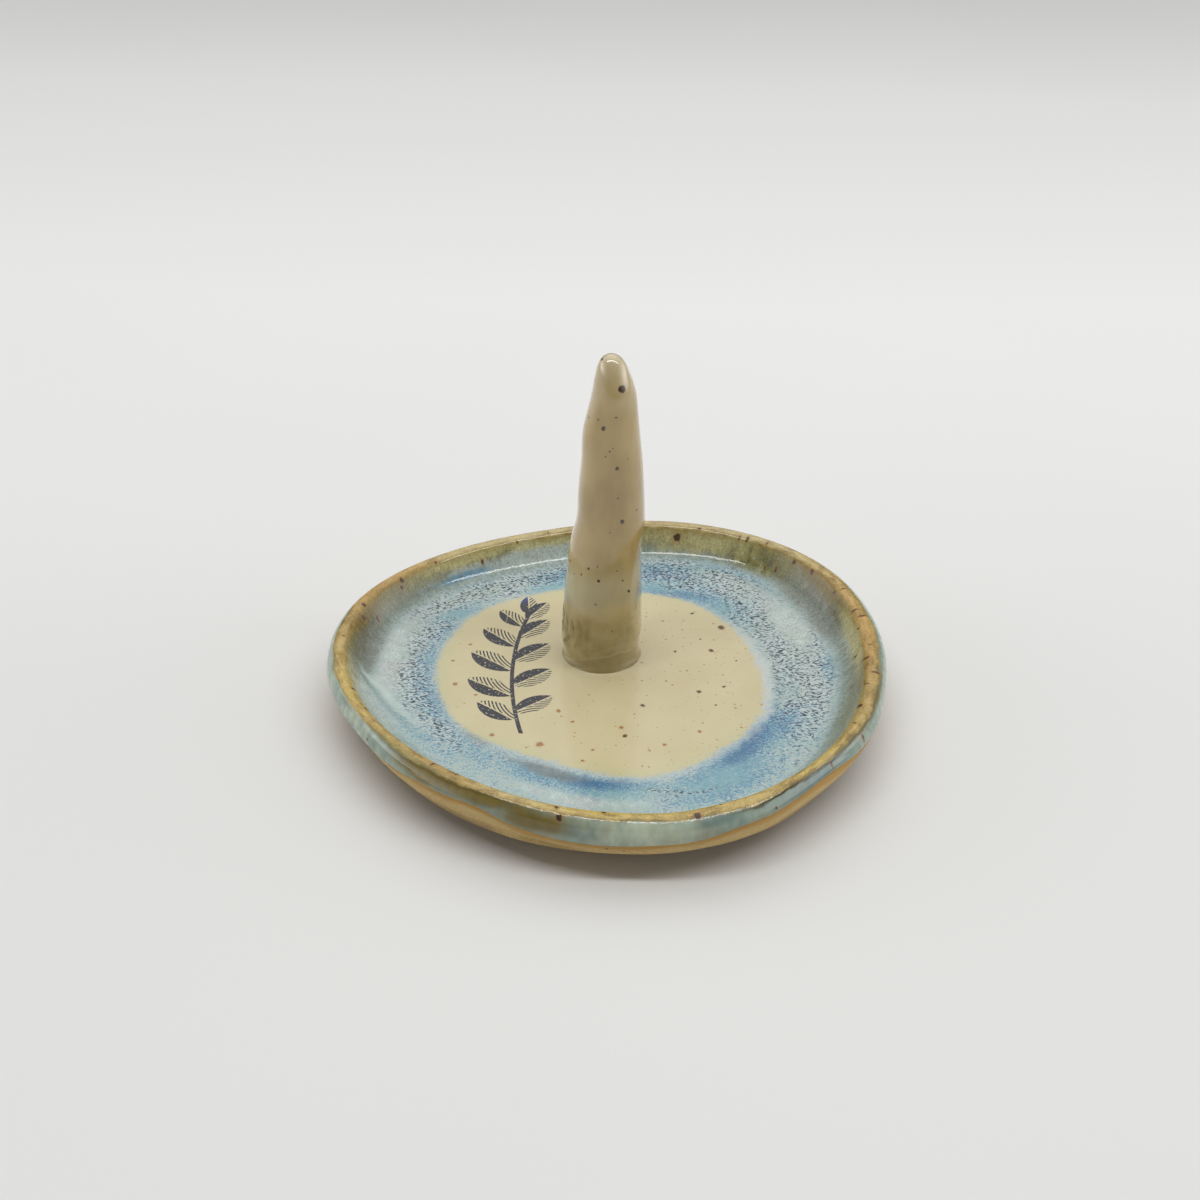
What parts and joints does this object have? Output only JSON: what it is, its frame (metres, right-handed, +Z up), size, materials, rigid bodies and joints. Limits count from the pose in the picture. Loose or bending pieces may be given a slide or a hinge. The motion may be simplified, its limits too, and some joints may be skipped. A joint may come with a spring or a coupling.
{
  "type": "ring dish",
  "caption": "Shallow glazed stoneware ring dish with a lifted rounded-triangle rim and an upright tapered post that finger rings are slipped over.",
  "frame": {"origin": "on the table under the middle of the dish, in the plane of the foot", "axes": "+Z up along the post, -Y towards the front, which the printed floor and the post, set back, face; +X to the right"},
  "size_m": [0.0996, 0.1002, 0.0652],
  "materials": {
    "clay": "bare speckled stoneware, matt, with a peach blush beside the glaze",
    "clear_glaze": "clear gloss over cream clay with rust and brown iron specks",
    "blue_glaze": "gloss running from cerulean through milky mint to olive, breaking to ochre with brown specks on the lip"
  },
  "bodies": {
    "root": {"dish_body": "clay", "ring_post": "clay", "slip_joint": "clay", "floor_glaze": "clear_glaze", "rim_glaze": "blue_glaze", "post_glaze": "clear_glaze"}
  },
  "joints": []
}
